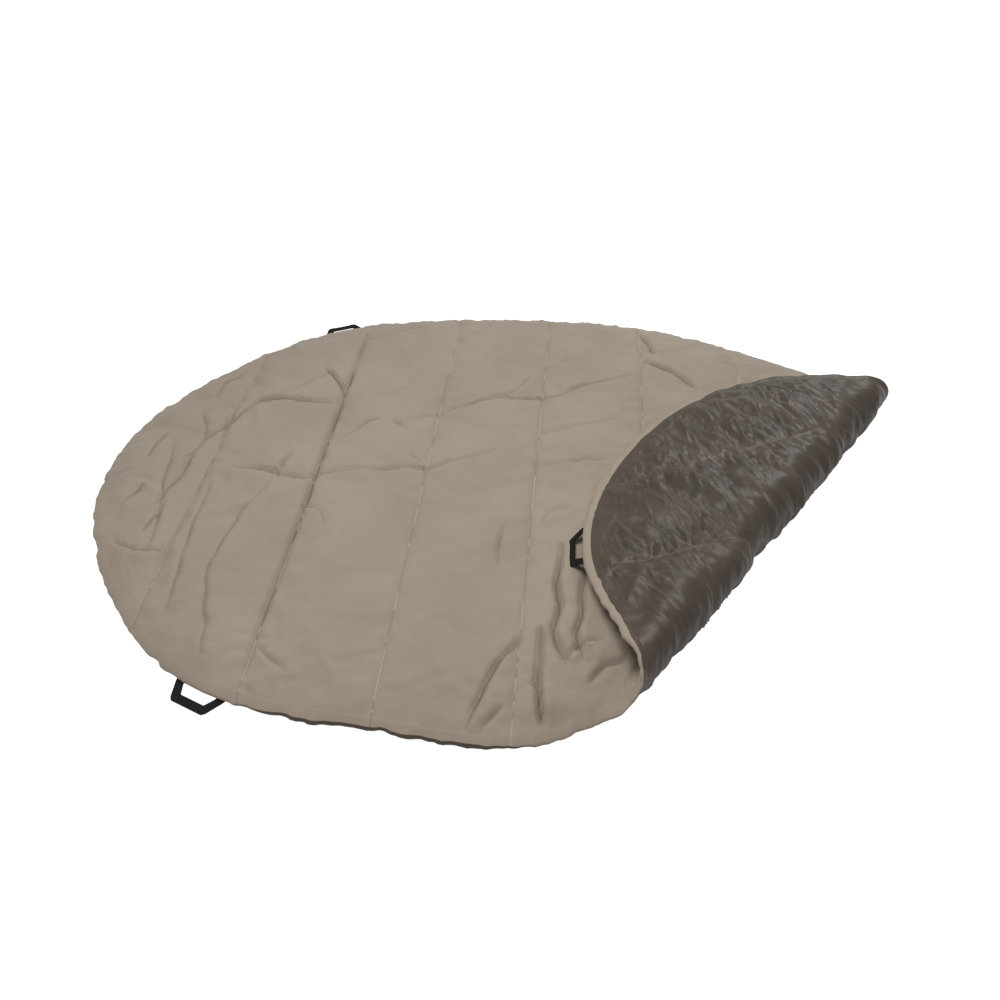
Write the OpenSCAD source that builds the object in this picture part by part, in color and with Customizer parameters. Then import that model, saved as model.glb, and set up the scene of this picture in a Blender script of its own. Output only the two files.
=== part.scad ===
// Quilted bivy cover: an oval two-sided quilt that lies open on the ground, with one
// corner folded back on top of it. Outer face fabric, batting and lining are sewn through
// in channels, and a narrow gathered hem closes the edge. Four webbing loops hold it.
//
// Everything is drawn first on the flat pattern: p runs along the quilt, q across it, and
// h is the height above the lining's resting plane. fold_map() then bends the corner over.
// Frame: +X along the quilt, +Y across it, +Z up. The origin is on the ground under the
// middle seam, at the middle of the oval. All sizes are in millimetres.

/* [Quilt] */
// Length of the oval, hem included
length = 2000; // [1900:10:2100]
// Width of the oval, hem included
width = 1380; // [1300:10:1450]
// How square the oval's shoulders are: 2 is an ellipse
squareness = 2.2; // [2:0.05:2.6]
// Thickness of a channel at its crown
loft = 43; // [38:1:46]
// Part of the loft that is left at a channel seam
seam_loft = 0.62; // [0.5:0.02:0.8]
// Thickness of the face fabric and of the lining
cloth_t = 0.8; // [0.6:0.1:1]

/* [Edge] */
// Width of the gathered hem
hem_w = 20; // [16:1:24]
// Thickness of the quilt where the hem is sewn on
rim_t = 9.4; // [8:0.2:12]
// Height of the rim's underside above the ground
rim_lift = 4.8; // [4.5:0.1:6]
// Distance over which the quilt thickens from its rim
edge_band = 150; // [100:10:200]
// Distance over which the underside comes down from the rim to the ground
lift_band = 45; // [40:1:60]

/* [Fold] */
// Distance of the fold line from the origin
fold_at = 460; // [440:5:480]
// Direction across the fold line, from +X
fold_turn = -34; // [-36:0.5:-32]
// Outer radius of the bend
bend_r = 64; // [62:1:70]
// How far past half a turn the corner is folded
droop = 7; // [5:0.5:7.5]
// Gap on both sides of the bend
fold_gap = 0.5; // [0.3:0.1:1]

/* [Webbing loops] */
// Width of the webbing
web_w = 18; // [14:1:20]
// Thickness of the webbing
web_t = 1.6; // [1.2:0.1:1.7]
// Width of a loop where it leaves the hem
loop_span = 110; // [90:5:120]
// Width of a loop at its outer side
loop_top = 82; // [70:2:90]
// How far a loop reaches out from the hem
loop_reach = 36; // [32:1:38]
// Length of webbing sewn under the hem
sewn_end = 17; // [12:1:18]

/* [Hidden] */

// Sewn channels along the length
channels = 8;

TAN = [0.58, 0.53, 0.47];
TAUPE = [0.30, 0.27, 0.24];
WHITE = [0.93, 0.92, 0.88];
BLACK = [0.06, 0.06, 0.06];

// How far the gathers pull the edge out of a true oval, every 22.5 degrees from +X
// towards +Y, as the quilt lies
PULL = [20, -20, -25, 10, 10, 10, 10, -30, -5, -5, 35, 5, 0, -80, 5, 5];

pitch = length/channels;
fold_angle = 180 + droop;
mid_r = bend_r - loft/2;                 // radius of the bend at the middle of the loft
arc = fold_angle*PI/180*mid_r;           // length of pattern that the bend takes up
across = [cos(fold_turn), sin(fold_turn)];
along = [-across[1], across[0]];
columns_in_pitch = 4;                    // pattern columns between two seams
rows = 9;                                // pattern cells across a column
end_steps = [0.25, 0.5, 0.72, 0.88, 0.97];
near = 14;                               // no column comes closer than this to another
halvings = 40;                           // steps of each search by halving
hinge_drop = web_t + 0.15;               // height of a loop's hinge line under the rim
hinge_gap = 1.2;                         // from the hinge line to the webbing, on both sides

// ---------- outline ----------
function spline(a, b, c, d, t) =
    b + t/2*(c - a + t*(2*a - 5*b + 4*c - d + t*(3*(b - c) + d - a)));
function pull(turn) =
    let(x = (turn + 720)/22.5, i = floor(x), n = len(PULL))
    spline(PULL[(i + n - 1) % n], PULL[i % n], PULL[(i + 1) % n], PULL[(i + 2) % n], x - i);
function oval_r(turn) =
    pow(pow(abs(cos(turn))*2/length, squareness) + pow(abs(sin(turn))*2/width, squareness),
        -1/squareness);
function edge_r(turn) = oval_r(turn) + pull(turn);
function rim_r(turn) = edge_r(turn) - hem_w;
function ray(turn) = [cos(turn), sin(turn)];

// q of the rim at p, on the rear (side 1) or the front (side -1)
function rim_turn(p, side, low, high, n) =
    let(mid = (low + high)/2)
    n == 0 ? mid
    : rim_r(side*mid)*cos(mid) > p ? rim_turn(p, side, mid, high, n - 1)
    : rim_turn(p, side, low, mid, n - 1);
function rim_q(p, side) =
    let(turn = rim_turn(p, side, 0, 180, halvings)) side*rim_r(side*turn)*sin(turn);

// ---------- fold ----------
function past_fold(pt) = pt*across - fold_at;
// q at p of the line that lies d past the fold
function line_q(p, d) = (p*across[0] - fold_at - d)/-across[1];
// p at which that line meets the rim
function crossing(d, side, low = -200, high = 960, n = halvings) =
    let(mid = (low + high)/2)
    n == 0 ? mid
    : line_q(mid, d) < rim_q(mid, side) ? crossing(d, side, mid, high, n - 1)
    : crossing(d, side, low, mid, n - 1);

function fold_map(pt, h) =
    let(d = past_fold(pt), s = pt*along, turn = min(fold_angle, d/mid_r*180/PI),
        beyond = max(0, d - arc),
        v = d <= 0 ? d : (bend_r - h)*sin(turn) - beyond*cos(droop),
        z = d <= 0 ? h : bend_r - (bend_r - h)*cos(turn) - beyond*sin(droop),
        flat = (v + fold_at)*across + s*along)
    [flat[0], flat[1], z];

// The corner beyond the bend moves as one rigid piece
module folded() {
    rotate([0, 0, fold_turn]) translate([fold_at, 0, bend_r]) rotate([0, -fold_angle, 0])
        translate([-fold_at - arc, 0, -bend_r]) rotate([0, 0, -fold_turn]) children();
}

// ---------- thickness ----------
function from_rim(pt) = max(0, rim_r(atan2(pt[1], pt[0])) - norm(pt));
function from_seam(p) = let(x = abs(p/pitch) % 1) 2*min(x, 1 - x);
function crown(p) = sqrt(1 - pow(1 - from_seam(p), 2));
function swell(pt) = let(x = min(1, from_rim(pt)/edge_band)) sqrt(1 - pow(1 - x, 2));
function top_h(pt) =
    rim_lift + rim_t + (loft - rim_lift - rim_t)*swell(pt)
    *(seam_loft + (1 - seam_loft)*crown(pt[0]));
function under_h(pt) = rim_lift*(1 - min(1, from_rim(pt)/lift_band));
// The corner lies on its face, so there the flat side is the face and not the lining
function turned(pt) = min(1, max(0, past_fold(pt)/arc));
function bottom_h(pt) = let(w = turned(pt)) (1 - w)*under_h(pt) + w*(loft - top_h(pt));
function upper_h(pt) = let(w = turned(pt)) (1 - w)*top_h(pt) + w*(loft - under_h(pt));
// Height of the border under a layer: 0 lining, 1 batting, 2 face, 3 the outer surface
function border(pt, level) =
    level == 0 ? bottom_h(pt) : level == 1 ? bottom_h(pt) + cloth_t
    : level == 2 ? upper_h(pt) - cloth_t : upper_h(pt);

// ---------- pattern columns ----------
// Cells are narrow near both ends of a column and even between
function row_part(j, span) =
    let(a = min(lift_band/max(span, 1), 0.12), b = min(2.8*lift_band/max(span, 1), 0.28))
    j == 0 ? 0 : j == 1 ? a : j == rows ? 1 : j == rows - 1 ? 1 - a
    : b + (1 - 2*b)*(j - 2)/(rows - 4);
function column(p, low, high) =
    [for (j = [0:rows]) [p, low + (high - low)*row_part(j, high - low)]];
function between(a, b) =
    let(step = pitch/columns_in_pitch)
    [for (k = [ceil((a + near)/step):floor((b - near)/step)]) k*step];
left_p = -rim_r(180);
right_p = rim_r(0);
left_seam = -pitch*floor(-left_p/pitch - 0.3);
right_seam = pitch*floor(right_p/pitch - 0.3);
front_in = crossing(0, -1);              // where the fold line meets the rim, at the front
rear_in = crossing(0, 1);                // and at the rear
bend_front = crossing(fold_gap, -1);     // where the bend's own pattern starts
bend_rear = crossing(fold_gap, 1);
front_out = crossing(arc, -1);           // where it ends
rear_out = crossing(arc, 1);
corner_from = arc + fold_gap;            // where the corner's own pattern starts
corner_front = crossing(corner_from, -1);
corner_rear = crossing(corner_from, 1);
function reversed(list) = [for (i = [len(list) - 1:-1:0]) list[i]];
function end_columns(seam, tip) = [for (f = end_steps) seam + (tip - seam)*f];
right_columns = end_columns(right_seam, right_p);

main_ps = concat([left_p], reversed(end_columns(left_seam, left_p)),
                 [left_seam], between(left_seam, front_in), [front_in],
                 between(front_in, rear_in), [rear_in]);
bend_ps = concat([bend_front], between(bend_front, front_out), [front_out],
                 between(front_out, bend_rear), [bend_rear], between(bend_rear, rear_out),
                 [rear_out]);
corner_ps = concat([corner_front], between(corner_front, right_seam), [right_seam],
                   [for (p = right_columns) if (p < corner_rear - near) p], [corner_rear],
                   [for (p = right_columns) if (p > corner_rear + near) p], [right_p]);

main_grid = [for (p = main_ps) column(p, max(rim_q(p, -1), line_q(p, 0)), rim_q(p, 1))];
bend_grid = [for (p = bend_ps)
             column(p, max(rim_q(p, -1), line_q(p, arc)), min(rim_q(p, 1), line_q(p, fold_gap)))];
corner_grid = [for (p = corner_ps)
               column(p, rim_q(p, -1), max(rim_q(p, -1), min(rim_q(p, 1), line_q(p, corner_from))))];

// ---------- solids from a grid ----------
// One layer of the quilt: both ends of the grid are single points
module layer(grid, level) {
    wide = rows + 1;
    last = len(grid) - 1;
    function at(i, j) = i == 0 || i == last ? i*wide : i*wide + j;
    half = len(grid)*wide;
    surface = [for (i = [0:last - 1]) for (j = [0:rows - 1])
        each [[at(i, j), at(i, j + 1), at(i + 1, j + 1)],
              [at(i, j), at(i + 1, j + 1), at(i + 1, j)]]];
    loop = concat([for (i = [0:last]) at(i, 0)], [for (i = [last - 1:-1:1]) at(i, rows)]);
    n = len(loop);
    walls = [for (k = [0:n - 1]) let(a = loop[k], b = loop[(k + 1) % n])
        each [[a, half + a, half + b], [a, half + b, b]]];
    all = concat([for (f = surface) [f[0] + half, f[1] + half, f[2] + half]],
                 [for (f = surface) [f[2], f[1], f[0]]], walls);
    faces = [for (f = all) if (f[0] != f[1] && f[1] != f[2] && f[2] != f[0]) f];
    points = concat([for (c = grid) for (pt = c) fold_map(pt, border(pt, level))],
                    [for (c = grid) for (pt = c) fold_map(pt, border(pt, level + 1))]);
    polyhedron(points = points, faces = faces, convexity = 10);
}

// ---------- hem ----------
// Section of the hem: distance out from the rim, height above the rim's underside. Its
// inner wall has the borders of the layers that it is sewn to.
HEM = [[0, 0], [0, cloth_t], [0, rim_t - cloth_t], [0, rim_t], [5, rim_t + 1.4],
       [12, rim_t + 1], [18, rim_t - 2.4], [20, 4], [17, 0]];
turn_band = 120;                         // distance over which the hem turns to the fold
// Direction in which the hem stands out from a point of the rim
function hem_way(pt) =
    let(out = ray(atan2(pt[1], pt[0])), d = past_fold(pt),
        slant = along*sign(out*along), slanted = slant/(slant*out),
        w = max(0, 1 - max(-d, d - arc, 0)/turn_band))
    (1 - w)*out + w*slanted;
function hem_ring(pt) =
    let(base = bottom_h(pt), way = hem_way(pt))
    [for (s = HEM) fold_map(pt + way*s[0]*hem_w/20, base + s[1])];
// Sweeps the section along points of the rim, in the order that has the quilt on the left
module hem(path) {
    n = len(HEM);
    last = len(path) - 1;
    sides = [for (i = [0:last - 1]) for (k = [0:n - 1]) let(m = (k + 1) % n)
        each [[i*n + k, i*n + n + k, i*n + n + m], [i*n + k, i*n + n + m, i*n + m]]];
    caps = concat([for (k = [0:n - 3]) [n - 1, k, k + 1]],
                  [for (k = [0:n - 3]) [last*n + n - 1, last*n + k + 1, last*n + k]]);
    polyhedron(points = [for (pt = path) each hem_ring(pt)], faces = concat(sides, caps),
               convexity = 10);
}
function rim_run(grid, from, to, row) =
    let(step = from < to ? 1 : -1) [for (i = [from:step:to]) grid[i][row]];
function index_of(list, value, i = 0) =
    list[i] == value ? i : index_of(list, value, i + 1);
main_last = len(main_ps) - 1;
bend_last = len(bend_ps) - 1;
corner_last = len(corner_ps) - 1;

// ---------- webbing loops ----------
// Directions of the loops from the origin, and how far each is turned up at rest
REAR_LEFT = [134, -3];
FRONT_LEFT = [227, -3];
CORNER = [316, 37];
REAR_RIGHT = [44, -178];
// Moves a loop from its own axes to the pattern: its hinge line is its Y axis
module at_edge(turn, base) {
    ahead = edge_r(turn + 1)*ray(turn + 1);
    behind = edge_r(turn - 1)*ray(turn - 1);
    way = ahead - behind;
    translate(concat(edge_r(turn)*ray(turn), [base - hinge_drop]))
        rotate([0, 0, atan2(way[1], way[0]) - 90]) children();
}
module loop_shape() {
    inner_y = loop_span/2 - web_w;
    inner_top = loop_top/2 - web_w*0.8;
    polygon([[hinge_gap, -loop_span/2], [loop_reach - 6, -loop_top/2], [loop_reach, -loop_top/2 + 6],
             [loop_reach, loop_top/2 - 6], [loop_reach - 6, loop_top/2],
             [hinge_gap, loop_span/2], [hinge_gap, inner_y], [loop_reach - web_w, inner_top],
             [loop_reach - web_w, -inner_top], [hinge_gap, -inner_y]]);
}
module loop(place, base) {
    at_edge(place[0], base) rotate([0, -place[1], 0])
        translate([0, 0, hinge_drop - web_t]) linear_extrude(web_t) loop_shape();
}
module loop_ends(place, base) {
    at_edge(place[0], base) for (side = [-1, 1])
        translate([-hinge_gap - sewn_end, side*(loop_span - web_w)/2 - web_w/2, hinge_drop - web_t])
            cube([sewn_end, web_w, web_t]);
}
corner_base = loft - rim_lift - rim_t;   // height of the rim's lining side on the corner

// ---------- nodes ----------
module face_main() color(TAN) layer(main_grid, 2);
module face_bend() color(TAN) layer(bend_grid, 2);
module face_corner() color(TAN) layer(corner_grid, 2);
module batting_main() color(WHITE) layer(main_grid, 1);
module batting_bend() color(WHITE) layer(bend_grid, 1);
module batting_corner() color(WHITE) layer(corner_grid, 1);
module lining_main() color(TAUPE) layer(main_grid, 0);
module lining_bend() color(TAUPE) layer(bend_grid, 0);
module lining_corner() color(TAUPE) layer(corner_grid, 0);
module hem_main() color(TAN)
    hem(concat(rim_run(main_grid, main_last, 1, rows),
               rim_run(main_grid, 0, index_of(main_ps, front_in), 0)));
module hem_bend_front() color(TAN)
    hem(rim_run(bend_grid, 0, index_of(bend_ps, front_out), 0));
module hem_bend_rear() color(TAN)
    hem(rim_run(bend_grid, bend_last, index_of(bend_ps, bend_rear), rows));
module hem_corner() color(TAN)
    hem(concat(rim_run(corner_grid, 0, corner_last, 0),
               rim_run(corner_grid, corner_last - 1, index_of(corner_ps, corner_rear), rows)));
module loop_rear_left() color(BLACK) loop(REAR_LEFT, rim_lift);
module loop_front_left() color(BLACK) loop(FRONT_LEFT, rim_lift);
module loop_corner() color(BLACK) folded() loop(CORNER, corner_base);
module loop_rear_right() color(BLACK) loop(REAR_RIGHT, rim_lift);
module loop_ends_rear_left() color(BLACK) loop_ends(REAR_LEFT, rim_lift);
module loop_ends_front_left() color(BLACK) loop_ends(FRONT_LEFT, rim_lift);
module loop_ends_corner() color(BLACK) folded() loop_ends(CORNER, corner_base);
module loop_ends_rear_right() color(BLACK) loop_ends(REAR_RIGHT, rim_lift);

face_main();
face_bend();
face_corner();
batting_main();
batting_bend();
batting_corner();
lining_main();
lining_bend();
lining_corner();
hem_main();
hem_bend_front();
hem_bend_rear();
hem_corner();
loop_rear_left();
loop_front_left();
loop_corner();
loop_rear_right();
loop_ends_rear_left();
loop_ends_front_left();
loop_ends_corner();
loop_ends_rear_right();
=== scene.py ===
"""Quilted bivy cover, laid open on a floor with one corner folded back over the top.

The cover is drawn as its maker lays it out: on a flat pattern, with p along the quilt, q across
it and h the height above the floor. Each layer is made flat, cut at the fold, and then carried
round the bend. Lengths are in metres. The quilt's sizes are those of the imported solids.
"""
import math

import bmesh
import bpy
import numpy as np
from mathutils import Matrix, Vector, noise


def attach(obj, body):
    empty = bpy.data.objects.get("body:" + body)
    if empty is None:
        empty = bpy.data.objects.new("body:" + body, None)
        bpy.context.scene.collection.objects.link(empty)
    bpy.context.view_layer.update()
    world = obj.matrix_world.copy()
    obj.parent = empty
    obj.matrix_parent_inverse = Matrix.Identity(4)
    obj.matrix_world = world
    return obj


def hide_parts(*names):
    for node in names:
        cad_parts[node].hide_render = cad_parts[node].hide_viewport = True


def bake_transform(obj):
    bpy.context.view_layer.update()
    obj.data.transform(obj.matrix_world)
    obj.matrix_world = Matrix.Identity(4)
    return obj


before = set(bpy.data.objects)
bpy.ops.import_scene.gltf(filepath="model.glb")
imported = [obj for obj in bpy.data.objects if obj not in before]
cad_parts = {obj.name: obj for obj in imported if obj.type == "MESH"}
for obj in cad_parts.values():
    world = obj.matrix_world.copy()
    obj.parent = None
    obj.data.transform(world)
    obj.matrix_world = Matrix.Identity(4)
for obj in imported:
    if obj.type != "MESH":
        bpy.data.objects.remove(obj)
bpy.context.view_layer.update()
scene = bpy.context.scene

# ---------- Camera ----------
# The photograph's place and lens: about two metres from the point it looks at, looking down at
# 43 degrees, from slightly to the right of the cover's middle.
LENS = 32
SENSOR = 36
AIM = Vector((-0.0762, -0.0506, 0.0))
CAMERA_AWAY = 2.018
LOOK_DOWN = math.radians(42.955)
LOOK_LEFT = math.radians(5.236)

look = Vector((-math.sin(LOOK_LEFT) * math.cos(LOOK_DOWN),
               math.cos(LOOK_LEFT) * math.cos(LOOK_DOWN), -math.sin(LOOK_DOWN)))
camera = bpy.data.objects.new("camera", bpy.data.cameras.new("camera"))
camera.data.lens = LENS
camera.data.sensor_width = SENSOR
camera.location = AIM - look * CAMERA_AWAY
camera.rotation_mode = "QUATERNION"
camera.rotation_quaternion = look.to_track_quat("-Z", "Y")
scene.collection.objects.link(camera)
scene.camera = camera

# ---------- Lining ----------
# The under side: one oval of thin shiny taupe nylon, sewn through in channels every 250 mm,
# so it puckers hard along the seams. It shows where the corner is folded back. The cloth is cut
# with slack, held at its seams and rim, and a simulation lets it buckle.
LENGTH, WIDTH, SQUARENESS = 2.0, 1.38, 2.2
PULL = np.array([20, -20, -25, 10, 10, 10, 10, -30, -5, -5, 35, 5, 0, -80, 5, 5]) / 1000
HEM_WIDTH = 0.020
LOFT, SEAM_LOFT = 0.043, 0.62
RIM_THICK, RIM_LIFT = 0.0094, 0.0048
EDGE_BAND, LIFT_BAND = 0.150, 0.045
CHANNEL = 0.250
CHANNELS = 8
FOLD_AT, FOLD_TURN = 0.460, math.radians(-34)
BEND_RADIUS, DROOP = 0.064, math.radians(7)
MID_RADIUS = BEND_RADIUS - LOFT / 2
FOLD_ANGLE = math.pi + DROOP
ARC = FOLD_ANGLE * MID_RADIUS
ACROSS = np.array([math.cos(FOLD_TURN), math.sin(FOLD_TURN)])
ALONG = np.array([-ACROSS[1], ACROSS[0]])


def edge_radius(turn):
    """Distance from the middle to the outer edge of the hem, in a direction in radians."""
    oval = (abs(np.cos(turn) * 2 / LENGTH) ** SQUARENESS
            + abs(np.sin(turn) * 2 / WIDTH) ** SQUARENESS) ** (-1 / SQUARENESS)
    step = np.degrees(turn) / 22.5 + 32
    i = np.floor(step).astype(int)
    t = step - i
    a, b, c, d = (PULL[(i + k) % 16] for k in (-1, 0, 1, 2))
    return oval + b + t / 2 * (c - a + t * (2 * a - 5 * b + 4 * c - d + t * (3 * (b - c) + d - a)))


def rim_radius(turn):
    return edge_radius(turn) - HEM_WIDTH


def rim_q(p, side):
    """Where the rim lies across the quilt at p, on the rear (side 1) or the front (side -1)."""
    low, high = np.zeros_like(p), np.full_like(p, math.pi)
    for _ in range(40):
        mid = (low + high) / 2
        inside = rim_radius(side * mid) * np.cos(mid) > p
        low, high = np.where(inside, mid, low), np.where(inside, high, mid)
    return side * rim_radius(side * mid) * np.sin(mid)


def past_fold(p, q):
    return p * ACROSS[0] + q * ACROSS[1] - FOLD_AT


def folded(p, q, h):
    """Carries points of the flat pattern round the bend."""
    d = past_fold(p, q)
    s = p * ALONG[0] + q * ALONG[1]
    turn = np.clip(d / MID_RADIUS, 0, FOLD_ANGLE)
    beyond = np.maximum(0, d - ARC)
    v = np.where(d <= 0, d, (BEND_RADIUS - h) * np.sin(turn) - beyond * math.cos(DROOP))
    z = BEND_RADIUS - (BEND_RADIUS - h) * np.cos(turn) - beyond * math.sin(DROOP)
    return np.stack([(v + FOLD_AT) * ACROSS[0] + s * ALONG[0],
                     (v + FOLD_AT) * ACROSS[1] + s * ALONG[1], np.where(d <= 0, h, z)], 1)


def from_rim(p, q):
    return np.maximum(0, rim_radius(np.arctan2(q, p)) - np.hypot(p, q))


def from_seam(p):
    x = np.abs(p / CHANNEL) % 1
    return np.minimum(x, 1 - x) * CHANNEL


def swell(p, q):
    return 1 - (1 - np.minimum(1, from_rim(p, q) / EDGE_BAND)) ** 2.6


# how deep each seam draws its side in, from the seam at p = -0.75 to the one at p = 0.75,
# as shares of the usual depth
FACE_DRAW = [0.8, 0.9, 0.40, 0.34, 0.5, 0.6, 0.6]
LINING_DRAW = [0.9, 0.9, 0.9, 0.9, 1.0, 1.15, 1.15]
# how far the dip of a seam spreads on each side
FACE_DIP, LINING_DIP = 0.020, 0.026
RIM_ROLL = 0.007


def puffed(p, q, draw, width):
    """Height of the side that the batting pushes out: full in a channel, less at its seams."""
    seam = np.clip(np.rint(p / CHANNEL), -3, 3).astype(int) + 3
    depth = (1 - SEAM_LOFT) * np.array(draw)[seam] * np.exp(-from_seam(p) / width)
    edge = RIM_LIFT + RIM_THICK + RIM_ROLL
    return edge + (LOFT - edge) * swell(p, q) * (1 - depth)


def flat_side(p, q):
    return RIM_LIFT * (1 - np.minimum(1, from_rim(p, q) / LIFT_BAND))


def turned(p, q):
    """0 on the large part, 1 on the corner: there the lining is the puffed side."""
    return np.clip(past_fold(p, q) / ARC, 0, 1)


def lining_height(p, q):
    w = turned(p, q)
    return (1 - w) * flat_side(p, q) + w * (LOFT - puffed(p, q, LINING_DRAW, LINING_DIP))


def face_height(p, q):
    w = turned(p, q)
    return (1 - w) * puffed(p, q, FACE_DRAW, FACE_DIP) + w * (LOFT - flat_side(p, q))


def grain(x, y, seed):
    """Smooth noise from -1 to 1 at points in cells of size 1."""
    return np.array([noise.noise(Vector((a, b, seed))) for a, b in zip(x, y)])


def crests(p, q, angle, length, width, seed):
    """Sharp wrinkles that run at an angle in degrees to p, 0 to 1, each fading in and out."""
    c, s = math.cos(math.radians(angle)), math.sin(math.radians(angle))
    along, over = (p * c + q * s) / length, (q * c - p * s) / width
    bend = 0.8 * grain(along * 0.7, over * 0.25, seed + 3)
    crest = np.clip(1 - np.abs(grain(along, over + bend, seed)) / 0.38, 0, 1) ** 1.4
    return crest * np.clip(0.45 + 1.3 * grain(along * 1.3, over * 0.6, seed + 7), 0, 1)


def puckers(p, q, seed, reach, cell):
    """Short folds that stand square to the channel seams and die away from them."""
    t = from_seam(p)
    lean = q + 0.5 * t * grain(p / 0.2, q / 0.07, seed + 9)
    folds = grain(p / (reach * 2), lean / cell, seed)
    folds = folds + 0.6 * grain(p / reach, lean / cell * 2.1, seed + 5)
    off_rim = np.minimum(1, from_rim(p, q) / 0.02)
    return folds * np.minimum(1, t / 0.008) * np.exp(-t / reach) * off_rim


# directions of the webbing loops in degrees: the stitching there holds the edge flat
LOOP_TURNS = [44, 134, 227, 316]


def gathers(turn, cell, seed=57.0):
    """The folds of the gathered edge, -1 to 1, in a direction from the middle."""
    x, y = np.cos(turn) * 0.85 / cell, np.sin(turn) * 0.85 / cell
    held = sum(np.exp(-((np.degrees(turn) % 360 - t) / 4.5) ** 4) for t in LOOP_TURNS)
    return (grain(x, y, seed) + 0.6 * grain(x * 2.1, y * 2.1, seed + 5)) * (1 - 0.85 * held)


EDGE_CELL = 0.045
EDGE_WAVE = 0.004


def run_in(p, q, reach):
    """The height of the same folds where they run in from the edge and die away."""
    turn, t = np.arctan2(q, p), from_rim(p, q)
    lean = 0.05 * grain(p / 0.08, q / 0.08, 66.0) * np.minimum(1, t / 0.05)
    return EDGE_WAVE * gathers(turn + lean, EDGE_CELL) * np.exp(-t / reach)


# width and depth of the folds inside the bend
BUNCH_EVERY, BUNCH_DEEP = 0.026, 0.017


def bunched(p, q, height):
    """The short folds that the side inside the bend is pressed into, at a height on the pattern."""
    d = past_fold(p, q)
    s = p * ALONG[0] + q * ALONG[1]
    off_ends = np.clip(np.minimum(d, ARC - d) / 0.02, 0, 1)
    squeeze = np.clip(height / MID_RADIUS - 0.5, 0, 0.5) * off_ends
    wave = np.sin(d / BUNCH_EVERY * 2 * math.pi + 1.6 * grain(s / 0.09, d / 0.14, 71.0))
    return squeeze * BUNCH_DEEP * (wave - 1) * (0.9 + 0.3 * grain(s / 0.06, d / 0.06, 73.0))


def creased(p, q, lines, narrow=0.0060):
    """Creases in the cloth: a narrow slit along each line, and a step up that dies away beside it.

    A line is (depth of the slit, height of the step, its points on the pattern). The step is on
    the left of the way the points go, or on the right where it is below zero. Gives the height,
    the distance to the nearest line with its side as sign, and how deep that line is, 0 to 1."""
    total, deep = np.zeros_like(p), np.zeros_like(p)
    nearest, off = np.full_like(p, 9.0), np.full_like(p, 0.02)
    patchy = 1 + 0.6 * grain(p / 0.07, q / 0.07, 93.0)
    sway = 0.010 * np.clip(from_rim(p, q) / 0.1, 0, 1)
    x0 = p + sway * grain(p / 0.07, q / 0.07, 95.0)
    y0 = q + sway * grain(p / 0.07, q / 0.07, 97.0)
    for depth, lift, points in lines:
        points = np.array(points)
        if lift == 0:
            x0, y0 = p, q
        steps = np.hypot(*(points[1:] - points[:-1]).T)
        reach = np.concatenate([[0], np.cumsum(steps)])
        near, side, share = np.full_like(p, 9.0), np.ones_like(p), np.zeros_like(p)
        for k, (a, b) in enumerate(zip(points[:-1], points[1:])):
            u = (b - a) / steps[k]
            t = np.clip((x0 - a[0]) * u[0] + (y0 - a[1]) * u[1], 0, steps[k])
            x, y = x0 - a[0] - t * u[0], y0 - a[1] - t * u[1]
            away = np.hypot(x, y)
            closer = away < near
            near = np.where(closer, away, near)
            side = np.where(closer, np.where(u[0] * y > u[1] * x, 1, -1), side)
            share = np.where(closer, (reach[k] + t) / reach[-1], share)
        fade = np.clip(4 * share * (1 - share), 0, 1) ** 0.4
        wide = 0.018 + 3 * abs(lift)
        beside = np.maximum(0, near * side * (1 if lift >= 0 else -1))
        step = abs(lift) * np.exp(-(beside / wide) ** 1.5) * (1 - np.exp(-beside / 0.005))
        total += fade * (step - depth * np.exp(-(near / narrow) ** 2)) * patchy
        first = near < nearest
        off = np.where(first, near * side, off)
        deep = np.where(first & (near < 0.015), fade * patchy * min(1, depth / 0.012), deep)
        nearest = np.minimum(nearest, near)
    inland = np.clip(from_rim(p, q) / 0.03, 0, 1)
    return total * inland, off, deep * inland


def sheet_grid(columns, rows):
    """The whole oval as a grid in the pattern plane, with a column along every seam."""
    bm = bmesh.new()
    bmesh.ops.create_grid(bm, x_segments=columns * CHANNELS, y_segments=rows, size=1)
    u, v = np.array([w.co.xy for w in bm.verts]).T
    t = (u + 1) / 2 * CHANNELS - CHANNELS / 2
    last = CHANNELS / 2 - 1
    tip = np.where(t > 0, rim_radius(0.0), rim_radius(math.pi)) - last * CHANNEL
    end = np.sin(np.clip(np.abs(t) - last, 0, 1) * math.pi / 2)
    p = np.where(np.abs(t) <= last, t * CHANNEL, np.sign(t) * (last * CHANNEL + tip * end))
    low, high = rim_q(p, -1), rim_q(p, 1)
    across = (0.7 * v + 0.3 * np.sin(v * math.pi / 2) + 1) / 2
    q = low + (high - low) * across
    for w, a, b in zip(bm.verts, p, q):
        w.co = (a, b, 0)
    uv = bm.loops.layers.uv.new("pattern")
    for f in bm.faces:
        for loop in f.loops:
            loop[uv].uv = loop.vert.co.xy
    bmesh.ops.remove_doubles(bm, verts=bm.verts, dist=0.0004)
    return bm


def points_of(mesh):
    co = np.empty(len(mesh.vertices) * 3)
    mesh.vertices.foreach_get("co", co)
    return co.reshape(-1, 3)


def set_points(mesh, co):
    mesh.vertices.foreach_set("co", np.ascontiguousarray(co, dtype=np.float32).ravel())
    mesh.update()


def keep_values(mesh, name, values):
    """Stores a number on each point, for the shader."""
    kept = mesh.attributes.new(name, "FLOAT", "POINT")
    kept.data.foreach_set("value", values.astype(np.float32))


def object_of(bm, name):
    mesh = bpy.data.meshes.new(name)
    bm.to_mesh(mesh)
    bm.free()
    obj = bpy.data.objects.new(name, mesh)
    scene.collection.objects.link(obj)
    return obj


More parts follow.
